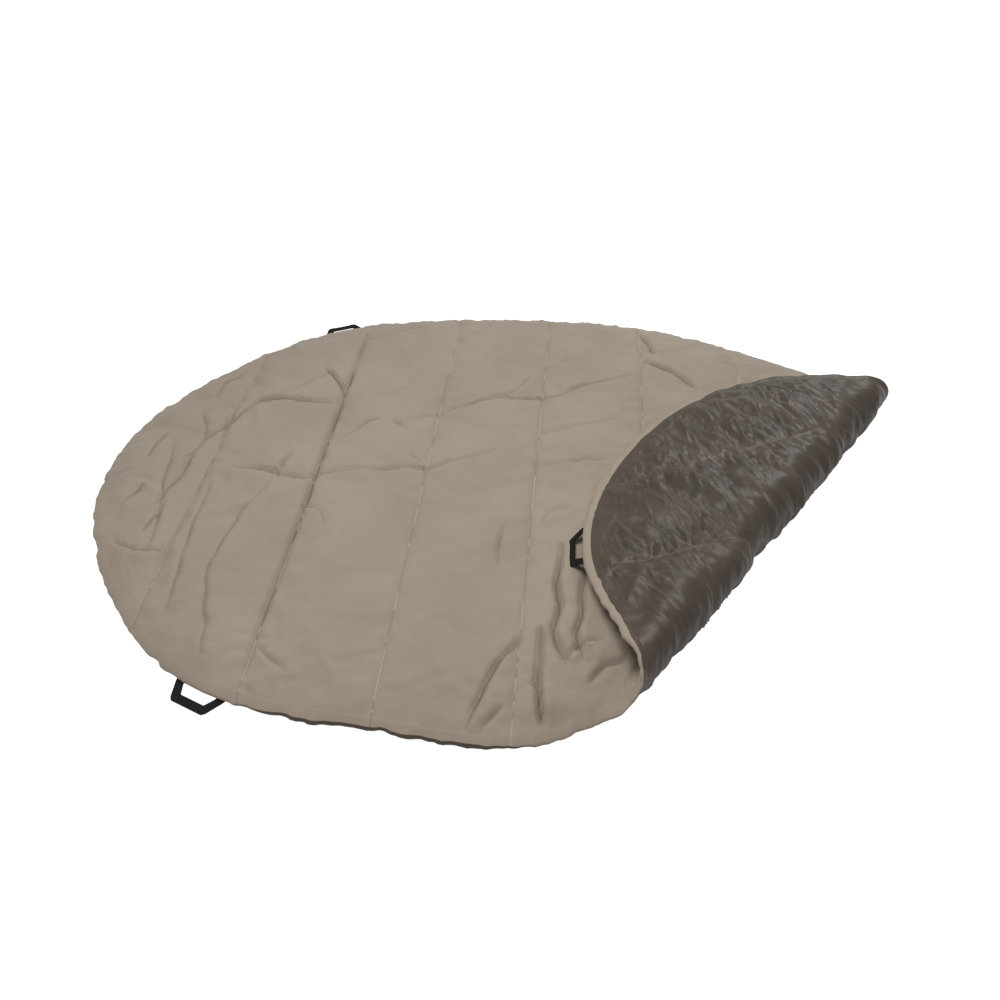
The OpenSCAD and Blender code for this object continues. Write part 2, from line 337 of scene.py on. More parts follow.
def keep_result(obj):
    """Puts an object's mesh after its modifiers in place of its own, and drops them."""
    seen = obj.evaluated_get(bpy.context.evaluated_depsgraph_get())
    mesh = bpy.data.meshes.new_from_object(seen)
    obj.modifiers.clear()
    obj.data = mesh


def finer(obj, kind="CATMULL_CLARK"):
    modifier = obj.modifiers.new("finer", "SUBSURF")
    modifier.levels = 1
    modifier.subdivision_type = kind
    keep_result(obj)


def smoothed(p, q, value, cell=0.08):
    """A value averaged over about a cell's width round each point."""
    i, j = (p + 1.2) / cell, (q + 1.2) / cell
    size = int(2.4 / cell) + 2
    total, count = np.zeros((size, size)), np.full((size, size), 1e-6)
    corners = []
    for a in (0, 1):
        for b in (0, 1):
            x, y = np.floor(i).astype(int) + a, np.floor(j).astype(int) + b
            w = (1 - np.abs(i - x)) * (1 - np.abs(j - y))
            np.add.at(total, (x, y), w * value)
            np.add.at(count, (x, y), w)
            corners.append((x, y, w))
    return sum(w * (total / count)[x, y] for x, y, w in corners)


def buckled(obj, slack, push, most, frames=12):
    """Simulates the cloth with its seams and rim held, and keeps its folds up to a height."""
    co = points_of(obj.data)
    p, q, before = co.T.copy()
    co[:, 2] += 0.0008 * grain(p / 0.02, q / 0.02, 1.0)
    set_points(obj.data, co)
    held = np.flatnonzero((from_seam(p) < 0.002) | (from_rim(p, q) < 0.004))
    group = obj.vertex_groups.new(name="held")
    group.add(held.tolist(), 1.0, "REPLACE")
    cloth = obj.modifiers.new("cloth", "CLOTH")
    cloth.settings.quality = 5
    cloth.settings.mass = 0.05
    cloth.settings.air_damping = 2
    cloth.settings.bending_stiffness = 0.1
    cloth.settings.vertex_group_mass = "held"
    cloth.settings.shrink_min = -slack
    cloth.settings.use_pressure = True
    cloth.settings.uniform_pressure_force = push
    cloth.settings.effector_weights.gravity = 0
    cloth.collision_settings.use_collision = False
    cloth.point_cache.frame_end = frames
    for number in range(1, frames + 1):
        scene.frame_set(number)
    keep_result(obj)
    obj.vertex_groups.clear()
    scene.frame_set(1)
    rise = points_of(obj.data)[:, 2] - before
    rise = most * np.tanh((rise - 0.8 * smoothed(p, q, rise)) / most)
    rise = rise * np.minimum(1, from_rim(p, q) / 0.04)
    set_points(obj.data, np.stack([p, q, before + rise], 1))


# the parts of the quilt along the way across the fold: name, start, end, bodies
PARTS = [("main", -9.0, 0.0, ("quilt",)), ("fold_lower", 0.0, ARC / 2, ("quilt", "bend")),
         ("fold_upper", ARC / 2, ARC, ("bend", "corner")), ("corner", ARC, 9.0, ("corner",))]


def cut_and_fold(flat, kind, nodes, flip=False, closed=False, wrinkle=None):
    """Cuts a flat layer in four across the fold, carries them round the bend and seats them.

    wrinkle(p, q) is added to the height of all but the main part, on a mesh twice as fine; its
    hollows get painted shade."""
    made = []
    for part, start, end, bodies in PARTS:
        bm = bmesh.new()
        bm.from_mesh(flat.data)
        for at, keep_beyond in ((start, True), (end, False)):
            if abs(at) > 5:
                continue
            point = Vector(((FOLD_AT + at) * ACROSS[0], (FOLD_AT + at) * ACROSS[1], 0))
            cut = bmesh.ops.bisect_plane(bm, geom=bm.verts[:] + bm.edges[:] + bm.faces[:],
                                         plane_co=point, plane_no=Vector((*ACROSS, 0)),
                                         clear_inner=keep_beyond, clear_outer=not keep_beyond)
            if closed:
                edges = [e for e in cut["geom_cut"] if isinstance(e, bmesh.types.BMEdge)]
                bmesh.ops.holes_fill(bm, edges=edges, sides=0)
        if flip:
            bmesh.ops.reverse_faces(bm, faces=bm.faces)
        piece = object_of(bm, f"{kind}_{part}")
        for material in flat.data.materials:
            piece.data.materials.append(material)
        if wrinkle and part != "main":
            finer(piece, "SIMPLE")
            co = points_of(piece.data)
            height = wrinkle(co[:, 0], co[:, 1])
            co[:, 2] += height
            set_points(piece.data, co)
            # painted shade in the hollows of the wrinkles
            keep_values(piece.data, "slit_painted_shade", 0.55 * np.clip(height / 0.007, 0, 1))
        co = points_of(piece.data)
        set_points(piece.data, folded(*co.T))
        piece.data.polygons.foreach_set("use_smooth", [True] * len(piece.data.polygons))
        if part.startswith("fold"):
            co = co[:, :2] @ np.array([ACROSS, ALONG]).T
        piece["plan"] = [float(np.ptp(co[:, 0])), float(np.ptp(co[:, 1]))]
        if len(bodies) == 1:
            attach(piece, bodies[0])
        else:
            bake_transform(piece)
        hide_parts(nodes["bend" if part.startswith("fold") else part])
        made.append(piece)
    return made


def declare_sheet(piece):
    del piece["plan"]


def area_of(mesh):
    return sum(f.area for f in mesh.polygons)


def pattern_areas(flat):
    """Area on the pattern of each part of a layer, before it is puffed."""
    co = points_of(flat.data)
    areas = [0.0] * len(PARTS)
    for f in flat.data.polygons:
        x, y = co[list(f.vertices), :2].T
        d = past_fold(x.mean(), y.mean())
        k = next(i for i, part in enumerate(PARTS) if d < part[2])
        areas[k] += abs(np.dot(x, np.roll(y, 1)) - np.dot(y, np.roll(x, 1))) / 2
    return areas


def node(tree, kind, **values):
    made = tree.nodes.new("ShaderNode" + kind)
    for name, value in values.items():
        if name in made.inputs:
            made.inputs[name].default_value = value
        else:
            setattr(made, name, value)
    return made


def maths(tree, operation, a, b=None):
    """A maths node on an output or number, or two."""
    made = node(tree, "Math", operation=operation)
    for slot, value in enumerate((a, b)):
        if value is None:
            continue
        if isinstance(value, (int, float)):
            made.inputs[slot].default_value = value
        else:
            tree.links.new(value, made.inputs[slot])
    return made.outputs[0]


def mixed(tree, share, first, second):
    """A colour that goes from an output's colour to a fixed one."""
    blend = node(tree, "Mix", data_type="RGBA")
    blend.inputs["B"].default_value = (*second, 1)
    tree.links.new(share, blend.inputs["Factor"])
    tree.links.new(first, blend.inputs["A"])
    return blend.outputs["Result"]


# length of a stitch, from one stitch to the next, half a thread's width, and half the width of the
# painted shade in a slit
STITCH, STITCH_EVERY, THREAD, SLIT = 0.0030, 0.0044, 0.0010, 0.0045
# how dark the painted shade in a slit and a seam's groove goes, and the share of the cloth's colour
# left at its bottom
PAINTED_SHADE_MIX, GROOVE_PAINTED_SHADE, DEEP_SHADE = 0.72, 0.5, 0.25


def fabric(name, colour, roughness, sheen, weave, crumple, thread=None):
    """A woven cloth: colour that drifts a little, thread bump, fine crumples, seam stitches and
    painted shade in slits and seam grooves.
    """
    material = bpy.data.materials.new(name)
    material.use_nodes = True
    tree = material.node_tree
    link = tree.links.new
    shader = tree.nodes["Principled BSDF"]
    shader.inputs["Roughness"].default_value = roughness
    shader.inputs["Sheen Weight"].default_value = sheen
    shader.inputs["Sheen Roughness"].default_value = 0.4
    shader.inputs["Specular IOR Level"].default_value = 0.35
    place = node(tree, "TexCoord")
    shade = node(tree, "TexNoise", Scale=5.0, Detail=8.0, Roughness=0.6)
    link(place.outputs["Object"], shade.inputs["Vector"])
    ramp = node(tree, "ValToRGB")
    ramp.color_ramp.elements[0].position = 0.3
    ramp.color_ramp.elements[1].position = 0.7
    ramp.color_ramp.elements[0].color = [c * 0.92 for c in colour] + [1]
    ramp.color_ramp.elements[1].color = [min(1, c * 1.07) for c in colour] + [1]
    link(shade.outputs["Fac"], ramp.inputs["Fac"])
    cloth_colour = ramp.outputs["Color"]
    yarns = node(tree, "TexNoise", Scale=weave, Detail=2.0)
    link(place.outputs["UV"], yarns.inputs["Vector"])
    folds = node(tree, "TexNoise", Scale=crumple, Detail=4.0, Roughness=0.55, Distortion=0.6)
    link(place.outputs["UV"], folds.inputs["Vector"])
    wrinkles = node(tree, "Bump", Strength=0.5, Distance=0.002)
    link(folds.outputs["Fac"], wrinkles.inputs["Height"])
    bump = node(tree, "Bump", Strength=0.25, Distance=0.0005)
    link(yarns.outputs["Fac"], bump.inputs["Height"])
    link(wrinkles.outputs["Normal"], bump.inputs["Normal"])
    link(bump.outputs["Normal"], shader.inputs["Normal"])
    # painted shade: the cloth is darkened near a crease's line, and on the lining in its wrinkles'
    # hollows, by the share kept on its points
    off = node(tree, "Attribute", attribute_name="slit_off").outputs["Fac"]
    off = maths(tree, "DIVIDE", maths(tree, "ABSOLUTE", off), SLIT)
    slit = maths(tree, "SUBTRACT", 1.0, maths(tree, "MINIMUM", off, 1.0))
    depth = node(tree, "Attribute", attribute_name="slit_painted_shade").outputs["Fac"]
    painted_shade = maths(tree, "MULTIPLY", slit, maths(tree, "MINIMUM", depth, 1.0))
    if thread:
        parts = node(tree, "SeparateXYZ")
        link(place.outputs["UV"], parts.inputs[0])
        at = maths(tree, "PINGPONG", maths(tree, "ABSOLUTE", parts.outputs["X"]), CHANNEL / 2)
        # painted shade in the groove along each channel seam
        near = maths(tree, "DIVIDE", at, THREAD * 2.2)
        groove_shade = maths(tree, "SUBTRACT", 1.0, maths(tree, "MINIMUM", near, 1.0))
        painted_shade = maths(tree, "MAXIMUM", painted_shade, maths(tree, "MULTIPLY", groove_shade, GROOVE_PAINTED_SHADE))
    # the painted shade darkens the cloth's colour towards a dark copy of it
    cloth_colour = mixed(tree, maths(tree, "MULTIPLY", painted_shade, PAINTED_SHADE_MIX), cloth_colour,
                         [c * DEEP_SHADE for c in colour])
    if thread:
        along = maths(tree, "FRACT", maths(tree, "DIVIDE", parts.outputs["Y"], STITCH_EVERY))
        stitch = maths(tree, "MULTIPLY", maths(tree, "LESS_THAN", at, THREAD),
                       maths(tree, "LESS_THAN", along, STITCH / STITCH_EVERY))
        sunk = node(tree, "TexNoise", Scale=8.0, Detail=3.0)
        link(place.outputs["UV"], sunk.inputs["Vector"])
        shown = maths(tree, "GREATER_THAN", sunk.outputs["Fac"], 0.5)
        stitch = maths(tree, "MULTIPLY", stitch, shown)
        cloth_colour = mixed(tree, stitch, cloth_colour, thread)
    link(cloth_colour, shader.inputs["Base Color"])
    return material


TAUPE = (0.080, 0.061, 0.045)
nylon = fabric("shiny_nylon", TAUPE, 0.44, 0.08, 500.0, 60.0, thread=(0.17, 0.145, 0.12))


def lining_folds(p, q):
    """Broad folds, before the simulation. The lining's outer side is down, so they go down."""
    loose = 0.1 + 0.9 * turned(p, q)
    broad = crests(p, q, -34, 0.30, 0.11, 23.0) - 0.3
    seam = 0.004 * puckers(p, q, 11.0, 0.040, 0.040)
    return -loose * (run_in(p, q, 0.05) + 0.006 * broad * swell(p, q) + seam)


def lining_wrinkles(p, q):
    """The crisp wrinkles of thin nylon, on the side that shows."""
    d = past_fold(p, q)
    on_bend = np.clip((ARC + 0.10 - d) / 0.10, 0, 1)
    start = np.clip(d / 0.02, 0, 1)
    open_land = swell(p, q) * np.minimum(1, from_seam(p) / 0.035)
    long = 0.009 * crests(p, q, -12, 0.17, 0.032, 81.0)
    slant = 0.008 * crests(p, q, -42, 0.24, 0.048, 83.0) * (1 - 0.6 * on_bend)
    fine = 0.004 * crests(p, q, 8, 0.10, 0.020, 87.0)
    seam = 0.0080 * puckers(p, q, 91.0, 0.042, 0.020)
    return -start * ((long + slant + fine - 0.007) * open_land * (1 - 0.35 * on_bend)
                     + seam * (1 - 0.5 * on_bend))


lining_flat = object_of(sheet_grid(24, 128), "lining_flat")
lining_areas = pattern_areas(lining_flat)
co = points_of(lining_flat.data)
co[:, 2] = lining_height(co[:, 0], co[:, 1]) + lining_folds(co[:, 0], co[:, 1])
set_points(lining_flat.data, co)
buckled(lining_flat, slack=0.05, push=-0.5, most=0.008)
finer(lining_flat)
co = points_of(lining_flat.data)
# the lowest that lining and hem lie on the large part
OFF_FLOOR = 0.0003
over_floor = past_fold(co[:, 0], co[:, 1]) < ARC / 2
co[:, 2] = np.where(over_floor, np.maximum(co[:, 2], OFF_FLOOR), co[:, 2])
set_points(lining_flat.data, co)
lining_flat.data.materials.append(nylon)
LINING_NODES = {"main": "lining_main", "bend": "lining_bend", "corner": "lining_corner"}
lining = cut_and_fold(lining_flat, "lining_cloth", LINING_NODES, flip=True,
                      wrinkle=lining_wrinkles)
for piece, size in zip(lining, lining_areas):
    declare_sheet(piece)

# ---------- Batting ----------
# Loose white polyester fibre between the two fabrics. The channel seams hold it. Nothing of it
# shows, so it is a plain closed body a few millimetres inside them.

# where the fibre's lower side lies between lining and face, and its thickness, as shares of the
# gap: lower on the large part, and nearer the face on the corner, away from the lining's wrinkles
FILL_LOW, FILL_LOW_TURNED, FILL_THICK = 0.21, 0.49, 0.14
fibre = fabric("polyester_fibre", (0.80, 0.78, 0.72), 0.95, 0.3, 80.0, 20.0)


def batting_heights(p, q):
    low, high = lining_height(p, q), face_height(p, q)
    share = FILL_LOW + (FILL_LOW_TURNED - FILL_LOW) * turned(p, q)
    return low + (high - low) * share, low + (high - low) * (share + FILL_THICK)


def batting_body():
    bm = sheet_grid(8, 40)
    bmesh.ops.scale(bm, vec=(0.975, 0.97, 1), verts=bm.verts)
    p, q, _ = np.array([v.co for v in bm.verts]).T
    low, high = batting_heights(p, q)
    bottom = bm.faces[:]
    copy = bmesh.ops.duplicate(bm, geom=bm.verts[:] + bm.edges[:] + bm.faces[:])
    tops = [g for g in copy["geom"] if isinstance(g, bmesh.types.BMVert)]
    kept = [v for v in bm.verts if v not in set(tops)]
    for v, z in zip(kept, low):
        v.co.z = z
    place = {(round(v.co.x, 6), round(v.co.y, 6)): z for v, z in zip(kept, high)}
    for v in tops:
        v.co.z = place[round(v.co.x, 6), round(v.co.y, 6)]
    bmesh.ops.reverse_faces(bm, faces=bottom)
    bmesh.ops.bridge_loops(bm, edges=[e for e in bm.edges if e.is_boundary])
    bmesh.ops.recalc_face_normals(bm, faces=bm.faces)
    return object_of(bm, "batting_flat")


batting = batting_body()
batting.data.materials.append(fibre)
BATTING_NODES = {"main": "batting_main", "bend": "batting_bend", "corner": "batting_corner"}
for piece in cut_and_fold(batting, "fill", BATTING_NODES, closed=True):
    del piece["plan"]

# ---------- Face ----------
# The upper side: the same oval in matt brushed polyester, tan. It is sewn to the lining through
# the batting, and it keeps the creases of having been packed.
TAN = (0.333, 0.275, 0.212)
polyester = fabric("brushed_polyester", TAN, 0.85, 0.35, 700.0, 14.0, thread=(0.50, 0.43, 0.35))

# creases left by the packing, and the folds that the turned corner pulls in front of it
FACE_CREASES = [
    (0.012, -0.006, [(-0.70, -0.04), (-0.63, -0.05), (-0.58, -0.06), (-0.51, -0.05)]),
    (0.012, -0.007, [(-0.51, -0.05), (-0.38, -0.02), (-0.24, 0.00), (-0.09, 0.08)]),
    (0.013, -0.007, [(-0.33, 0.16), (-0.24, 0.21), (-0.10, 0.27), (0.01, 0.29), (0.17, 0.38),
                     (0.23, 0.41)]),
    (0.007, -0.004, [(-0.02, 0.03), (0.17, 0.07)]),
    (0.006, -0.004, [(-0.01, 0.15), (0.21, 0.22)]),
    (0.009, 0.005, [(0.25, 0.48), (0.32, 0.43), (0.40, 0.35)]),
    (0.009, 0.006, [(-0.80, 0.03), (-0.76, 0.10), (-0.74, 0.16), (-0.70, 0.21), (-0.60, 0.23),
                    (-0.52, 0.23)]),
    (0.006, -0.004, [(-0.66, 0.24), (-0.60, 0.30), (-0.55, 0.36)]),
    (0.011, 0.006, [(-0.58, 0.38), (-0.53, 0.32), (-0.49, 0.25)]),
    (0.006, 0.006, [(-0.59, -0.07), (-0.63, -0.20), (-0.65, -0.34), (-0.62, -0.44),
                    (-0.59, -0.56)]),
    (0.006, 0.005, [(-0.73, -0.09), (-0.72, -0.25), (-0.70, -0.38), (-0.70, -0.46)]),
    (0.006, 0.005, [(-0.86, 0.05), (-0.83, -0.10), (-0.80, -0.22), (-0.79, -0.32)]),
    (0.007, 0.005, [(-0.83, 0.16), (-0.80, 0.10), (-0.79, 0.02), (-0.81, -0.04)]),
    (0.027, 0.014, [(0.045, -0.44), (0.04, -0.55), (0.045, -0.61), (0.065, -0.70)]),
    (0.021, 0.012, [(0.07, -0.22), (0.064, -0.37), (0.07, -0.48), (0.085, -0.53)]),
    (0.013, 0.011, [(0.00, -0.47), (-0.04, -0.55), (-0.07, -0.63), (-0.09, -0.70)]),
    (0.015, 0.010, [(0.12, -0.30), (0.11, -0.45), (0.12, -0.52)]),
    (0.009, 0.005, [(0.13, -0.56), (0.16, -0.52), (0.20, -0.50)]),
    (0.006, 0.004, [(-0.44, -0.20), (-0.47, -0.16), (-0.50, -0.14)]),
    (0.006, 0.004, [(-0.46, 0.10), (-0.42, 0.15), (-0.39, 0.17)]),
    (0.007, -0.006, [(-0.29, 0.2), (-0.24, 0.22), (-0.16, 0.25), (-0.08, 0.3), (-0.03, 0.37)]),
    (0.009, 0.006, [(0.24, 0.66), (0.26, 0.59), (0.29, 0.51)]),
    (0.006, -0.005, [(-0.25, 0.54), (-0.22, 0.56), (-0.19, 0.57)]),
    (0.005, -0.005, [(0.01, 0.43), (0.06, 0.46), (0.13, 0.45)]),
    (0.005, 0.004, [(-0.36, 0.16), (-0.32, 0.14)]),
    (0.005, 0.004, [(-0.3, 0.05), (-0.26, 0.02)]),
    (0.010, -0.008, [(-0.51, 0.52), (-0.47, 0.51), (-0.42, 0.55), (-0.38, 0.6)]),
    (0.004, -0.005, [(-0.42, 0.26), (-0.34, 0.31)]),
    (0.006, -0.005, [(-0.57, 0.02), (-0.58, -0.05)]),
    (0.007, 0.006, [(-0.83, -0.18), (-0.8, -0.07), (-0.79, -0.0)]),
    (0.007, 0.006, [(-0.9, -0.17), (-0.88, -0.11)]),
    (0.006, 0.006, [(-0.83, -0.26), (-0.81, -0.21), (-0.8, -0.16)]),
    (0.007, -0.007, [(-0.88, -0.28), (-0.82, -0.31), (-0.76, -0.31)]),
    (0.009, 0.007, [(-0.9, -0.03), (-0.9, 0.03), (-0.89, 0.07)]),
    (0.006, -0.007, [(-0.85, 0.16), (-0.75, 0.18)]),
    (0.005, 0.005, [(-0.49, -0.53), (-0.42, -0.59)]),
    (0.006, 0.005, [(-0.49, -0.61), (-0.46, -0.66)]),
    (0.006, 0.003, [(-0.06, -0.29), (-0.06, -0.23), (-0.06, -0.17)]),
    (0.006, -0.004, [(0.02, -0.57), (0.05, -0.58)]),
    (0.007, -0.008, [(0.08, -0.52), (0.12, -0.48), (0.16, -0.46)]),
    (0.005, -0.007, [(0.02, -0.16), (0.04, -0.12), (0.09, -0.1)]),
    (0.007, 0.006, [(-0.06, -0.69), (-0.05, -0.66), (-0.02, -0.62)]),
    (0.006, 0.005, [(-0.82, 0.23), (-0.82, 0.29), (-0.79, 0.34)]),
]
# the seam at p = -0.5 is drawn in to a narrow pinch with painted shade in it, the next two hardly
PINCH = [(0.014, 0.0, [(-0.5, 0.56), (-0.5, 0.0), (-0.5, -0.60)]),
         (0.006, 0.0, [(-0.75, 0.42), (-0.75, -0.47)]),
         (0.0035, 0.0, [(-0.25, 0.64), (-0.25, -0.70)]), (0.004, 0.0, [(0.0, 0.70), (0.0, -0.70)]),
         (0.004, 0.0, [(0.25, 0.64), (0.25, -0.2)])]


def smooth_land(p, q):
    """1 over most of the cover, less where the photograph shows the face hardly folded."""
    return 1 - 0.6 * np.exp(-((p + 0.22) / 0.24) ** 2 - ((q + 0.28) / 0.30) ** 2)


def face_folds(p, q):
    left = 1 / (1 + np.exp((p + 0.68) / 0.04))
    ripples = 0.0045 * puckers(p, q, 31.0, 0.050, 0.032)
    edge = run_in(p, q, 0.055 + 0.05 * left) * (1 + left * np.minimum(1, from_rim(p, q) / 0.03))
    crumple = 0.011 * left * (crests(p, q, 70, 0.16, 0.075, 43.0) - 0.2)
    large = crests(p, q, 35, 0.30, 0.12, 41.0) + crests(p, q, -60, 0.35, 0.14, 47.0)
    large = 0.0045 * (large - 0.4)
    return edge + (ripples + (large + crumple) * swell(p, q)) * smooth_land(p, q)


face_flat = object_of(sheet_grid(24, 128), "face_flat")
face_areas = pattern_areas(face_flat)
co = points_of(face_flat.data)
co[:, 2] = face_height(co[:, 0], co[:, 1]) + face_folds(co[:, 0], co[:, 1])
set_points(face_flat.data, co)
buckled(face_flat, slack=0.03, push=0.3, most=0.006 * smooth_land(co[:, 0], co[:, 1]))
finer(face_flat)
co = points_of(face_flat.data)
p, q = co[:, 0], co[:, 1]
lying = 1 - turned(p, q)
rise, slit_off, slit_painted_shade = creased(p, q, FACE_CREASES)
pinch, pinch_off, pinch_painted_shade = creased(p, q, PINCH, narrow=0.0045)
pinched = np.abs(pinch_off) < np.abs(slit_off)
off = np.clip(np.where(pinched, pinch_off, slit_off), -0.02, 0.02)
# the distance to each crease's line and the painted shade it gets are kept on the points for the
# shader
keep_values(face_flat.data, "slit_off", off)
keep_values(face_flat.data, "slit_painted_shade", lying * np.where(pinched, pinch_painted_shade, slit_painted_shade))
lowest = np.minimum(co[:, 2], batting_heights(p, q)[1] + 0.002)
co[:, 2] = np.maximum(co[:, 2] + lying * (rise + pinch), lowest)
co[:, 2] += bunched(p, q, co[:, 2])
set_points(face_flat.data, co)
face_flat.data.materials.append(polyester)
FACE_NODES = {"main": "face_main", "bend": "face_bend", "corner": "face_corner"}
for piece, size in zip(cut_and_fold(face_flat, "face_cloth", FACE_NODES), face_areas):
    declare_sheet(piece)

# ---------- Hem ----------
# The edge all round: the face fabric is wrapped over the rim, tan on the upper side and to the
# edge, and the lining meets it below. It is gathered, so it ripples and its outline is scalloped.
HEM_SECTION = np.array([(-0.009, 0.0182), (0.0, 0.0171), (0.005, 0.0148), (0.010, 0.0127),
                        (0.015, 0.0100), (0.0185, 0.0072), (0.0195, 0.0045), (0.018, 0.0018),
                        (0.014, 0.0004), (0.007, 0.0), (-0.006, 0.0)])
HEM_RUN = np.concatenate([[0], np.cumsum(np.hypot(*np.diff(HEM_SECTION, axis=0).T))])
HEM_STEPS, HEM_ROWS, TAN_ROWS = 1400, 16, 9
FINE_OUT, SCALLOP_OUT = 0.0030, 0.0085
# how far round the section the tan reaches, at directions in degrees from the middle: along the
# front the lining rolls up to the edge, and where the bend ends the tan covers the whole hem
TAN_AT = [0, 45, 228, 238, 264, 280, 296, 304, 312, 318, 335, 350, 357]
TAN_TO = [0.041, 0.0352, 0.0352, 0.0257, 0.0250, 0.0352, 0.040, 0.056, 0.057, 0.056, 0.055, 0.054,
          0.0425]


def hem_band():
    """The hem on the pattern: its section carried round the rim, with gathers."""
    bm = bmesh.new()
    bmesh.ops.create_grid(bm, x_segments=HEM_STEPS, y_segments=HEM_ROWS, size=1)
    turn, row = np.array([v.co.xy for v in bm.verts]).T
    turn = (turn + 1) * math.pi
    row = np.rint((row + 1) / 2 * HEM_ROWS)
    tan_to = np.interp(np.degrees(turn), TAN_AT, TAN_TO)
    at = np.where(row <= TAN_ROWS, tan_to * row / TAN_ROWS,
                  tan_to + (HEM_RUN[-1] - tan_to) * (row - TAN_ROWS) / (HEM_ROWS - TAN_ROWS))
    out, up = (np.interp(at, HEM_RUN, part) for part in HEM_SECTION.T)
    x, y = np.cos(turn), np.sin(turn)
    wave = gathers(turn, EDGE_CELL)
    fine = wave + 0.5 * gathers(turn, 0.014, 59.0) * np.clip(out / 0.01, 0, 1)
    scallop = gathers(turn, 0.055, 61.0) * (1 + 0.6 * np.clip(-x, 0, 1) * (y > 0))
    nose = np.clip(out / HEM_WIDTH, 0, 1)
    radius = rim_radius(turn) + out + nose * (FINE_OUT * fine + SCALLOP_OUT * scallop)
    rim = rim_radius(turn)
    base = lining_height(rim * x, rim * y)
    lie = 1 - turned(rim * x, rim * y)
    share = np.clip(up / HEM_SECTION[1, 1], 0, 1)
    h = base + up + EDGE_WAVE * (share * fine - (1 - share) * (1 - 0.9 * lie) * wave)
    h = np.where(lie > 0.5, np.maximum(h, OFF_FLOOR), h)
    uv = bm.loops.layers.uv.new("pattern")
    for v, a, b, c in zip(bm.verts, radius * x, radius * y, h):
        v.co = (a, b, c)
    bm.faces.ensure_lookup_table()
    for f in bm.faces:
        f.material_index = int(sum(row[v.index] for v in f.verts) / 4 > TAN_ROWS)
        for loop in f.loops:
            loop[uv].uv = loop.vert.co.xy
    bmesh.ops.remove_doubles(bm, verts=bm.verts, dist=0.00005)
    return object_of(bm, "hem_flat")


hem = hem_band()
hem.data.materials.append(polyester)
hem.data.materials.append(nylon)
HEM_NODES = {"main": "hem_main", "bend": "hem_bend_front", "corner": "hem_corner"}
for piece in cut_and_fold(hem, "hem_band", HEM_NODES, flip=True):
    if "fold" in piece.name:
        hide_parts("hem_bend_rear")
    del piece["plan"]
    size = area_of(piece.data)

for flat in (lining_flat, batting, face_flat, hem):
    bpy.data.objects.remove(flat)

# ---------- Webbing loops ----------
# Black polyester webbing 18 mm wide, sewn under the hem at both ends. The webbing is folded over
# at the loop's two outer corners, and each loop swings about the hem's edge.
WEB_THICK = 0.0016
HINGE_DROP = 0.00175
# half a loop's outline, from its middle: its leg at the hem, its slanting part, its outer bar
LEG_OUT, LEG_IN, TOP_OUT, TOP_IN, CHAMFER, REACH = 0.055, 0.037, 0.041, 0.0266, 0.035, 0.036
GAP_DEEP = 0.018
# how far the sewn ends run in under the hem, and how far they spread
SEWN, SPREAD = 0.017, 0.004
# how far the folded-over corner sinks into the webbing, and how far it stands out of it
LAP, TUCK = 0.0002, 0.0011
LOOPS = [("rear_left", 134, -3), ("front_left", 227, -3), ("corner", 316, 37),
         ("rear_right", 44, -178)]


def webbing():
    material = bpy.data.materials.new("black_webbing")
    material.use_nodes = True
    tree = material.node_tree
    shader = tree.nodes["Principled BSDF"]
    shader.inputs["Base Color"].default_value = (0.005, 0.005, 0.006, 1)
    shader.inputs["Roughness"].default_value = 0.7
    shader.inputs["Specular IOR Level"].default_value = 0.25
    place = node(tree, "TexCoord")
    ribs = node(tree, "TexWave", Scale=110.0, Distortion=0.4)
    tree.links.new(place.outputs["UV"], ribs.inputs["Vector"])
    bump = node(tree, "Bump", Strength=0.6, Distance=0.0004)
    tree.links.new(ribs.outputs["Fac"], bump.inputs["Height"])
    tree.links.new(bump.outputs["Normal"], shader.inputs["Normal"])
    return material


def slab(bm, outline, low, high):
    """A flat piece of webbing with soft edges, from its outline in the loop's own plane."""
    verts = [bm.verts.new((x, y, low)) for x, y in outline]
    face = bm.faces.new(verts)
    grown = bmesh.ops.extrude_face_region(bm, geom=[face])
    top = [g for g in grown["geom"] if isinstance(g, bmesh.types.BMVert)]
    bmesh.ops.translate(bm, vec=(0, 0, high - low), verts=top)
    edges = list({e for v in verts + top for e in v.link_edges})
    bmesh.ops.bevel(bm, geom=edges, offset=0.00035, offset_type="OFFSET", segments=2, profile=0.5,
                    affect="EDGES", material=-1)


def loop_place(turn, corner):
    """Matrix of a loop's own axes: x out of the edge, y along it, z up, at the hinge line."""
    before, e, after = (edge_radius(np.array(t)) * np.array([math.cos(t), math.sin(t)])
                        for t in (math.radians(turn) + math.radians(s) for s in (-1, 0, 1)))
    way = after - before
    base = LOFT - RIM_LIFT - RIM_THICK if corner else RIM_LIFT
    place = (Matrix.Translation((e[0], e[1], base - HINGE_DROP))
             @ Matrix.Rotation(math.atan2(way[1], way[0]) - math.pi / 2, 4, "Z"))
    if not corner:
        return place
    turn_over = (Matrix.Rotation(FOLD_TURN, 4, "Z") @ Matrix.Translation((FOLD_AT, 0, BEND_RADIUS))
                 @ Matrix.Rotation(-FOLD_ANGLE, 4, "Y")
                 @ Matrix.Translation((-FOLD_AT - ARC, 0, -BEND_RADIUS))
                 @ Matrix.Rotation(-FOLD_TURN, 4, "Z"))
    return turn_over @ place


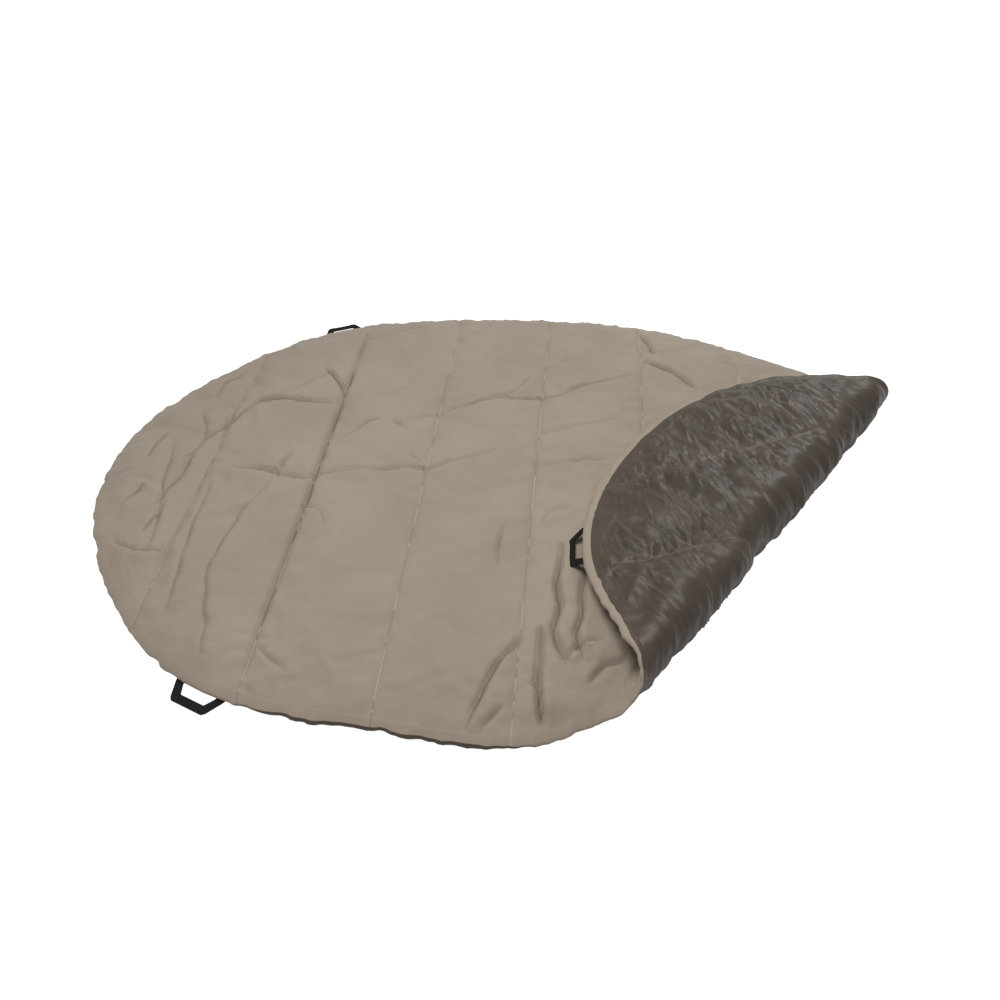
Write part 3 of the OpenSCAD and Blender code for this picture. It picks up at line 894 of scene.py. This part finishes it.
black = webbing()
for name, turn, rest in LOOPS:
    corner = name == "corner"
    place = loop_place(turn, corner)
    low, high = HINGE_DROP - WEB_THICK, HINGE_DROP
    for part in ("loop", "ends"):
        bm = bmesh.new()
        for side in (-1, 1):
            if part == "loop":
                outline = [(-0.0008, LEG_OUT), (0.030, TOP_OUT), (REACH, CHAMFER), (REACH, 0.0),
                           (GAP_DEEP, 0.0), (GAP_DEEP, TOP_IN), (-0.0008, LEG_IN)]
                tuck = [(0.0165, TOP_IN + 0.001), (0.0285, TOP_OUT + 0.0005),
                        (REACH - 0.0005, CHAMFER - 0.0005), (REACH - 0.0005, 0.022)]
                layer = (high - LAP, high + TUCK) if rest > -90 else (low - TUCK, low + LAP)
                slab(bm, [(x, y * side) for x, y in tuck], *layer)
            else:
                outline = [(-0.0004, LEG_OUT), (-0.0004, LEG_IN), (-SEWN, LEG_IN + SPREAD),
                           (-SEWN, LEG_OUT + SPREAD)]
            slab(bm, [(x, y * side) for x, y in outline], low, high)
        bmesh.ops.recalc_face_normals(bm, faces=bm.faces)
        uv = bm.loops.layers.uv.new("pattern")
        for f in bm.faces:
            for corner_loop in f.loops:
                corner_loop[uv].uv = corner_loop.vert.co.xy
        at = place @ Matrix.Rotation(-math.radians(rest), 4, "Y") if part == "loop" else place
        bmesh.ops.transform(bm, matrix=at, verts=bm.verts)
        piece = object_of(bm, f"webbing_{part}_{name}")
        piece.data.materials.append(black)
        if part == "loop":
            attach(piece, name + "_loop")
            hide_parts("loop_" + name)
        else:
            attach(piece, "corner" if corner else "quilt")
            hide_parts("loop_ends_" + name)

# ---------- Studio ----------
# A plain white floor under soft light from a large panel above, with a small lamp behind that
# shows the wrinkles. The floor and the world are white to the camera alone.
FLOOR_SIZE = 12
bm = bmesh.new()
bmesh.ops.create_grid(bm, x_segments=1, y_segments=1, size=FLOOR_SIZE / 2)
floor = object_of(bm, "floor")
white = bpy.data.materials.new("floor_white")
floor.data.materials.append(white)
white.use_nodes = True
nodes, links = white.node_tree.nodes, white.node_tree.links
shader = nodes["Principled BSDF"]
shader.inputs["Roughness"].default_value = 1
rays = nodes.new("ShaderNodeLightPath")
paint = nodes.new("ShaderNodeMix")
paint.data_type = "RGBA"
paint.inputs["A"].default_value = (0.9, 0.9, 0.9, 1)
paint.inputs["B"].default_value = (0.35, 0.35, 0.35, 1)
links.new(rays.outputs["Is Camera Ray"], paint.inputs["Factor"])
links.new(paint.outputs["Result"], shader.inputs["Base Color"])
shader.inputs["Emission Color"].default_value = (1, 1, 1, 1)
links.new(rays.outputs["Is Camera Ray"], shader.inputs["Emission Strength"])

world = bpy.data.worlds.new("studio")
scene.world = world
world.use_nodes = True
nodes, links = world.node_tree.nodes, world.node_tree.links
rays = nodes.new("ShaderNodeLightPath")
seen = nodes.new("ShaderNodeMath")
seen.operation = "MAXIMUM"
links.new(rays.outputs["Is Camera Ray"], seen.inputs[0])
links.new(rays.outputs["Is Transmission Ray"], seen.inputs[1])
strength = nodes.new("ShaderNodeMapRange")
strength.inputs["To Min"].default_value = 0.30
strength.inputs["To Max"].default_value = 1.0
links.new(seen.outputs[0], strength.inputs["Value"])
nodes["Background"].inputs["Color"].default_value = (1, 1, 1, 1)
links.new(strength.outputs[0], nodes["Background"].inputs["Strength"])

for name, energy, size, place in (("panel", 41, 1.3, (-0.35, -0.2, 2.4)),
                                  ("edge_light", 10, 0.5, (0.9, 1.8, 1.3))):
    lamp = bpy.data.objects.new(name, bpy.data.lights.new(name, "AREA"))
    lamp.data.energy = energy
    lamp.data.size = size
    lamp.location = place
    lamp.rotation_mode = "QUATERNION"
    lamp.rotation_quaternion = (-lamp.location).to_track_quat("-Z", "Y")
    scene.collection.objects.link(lamp)

scene.view_settings.view_transform = "Standard"
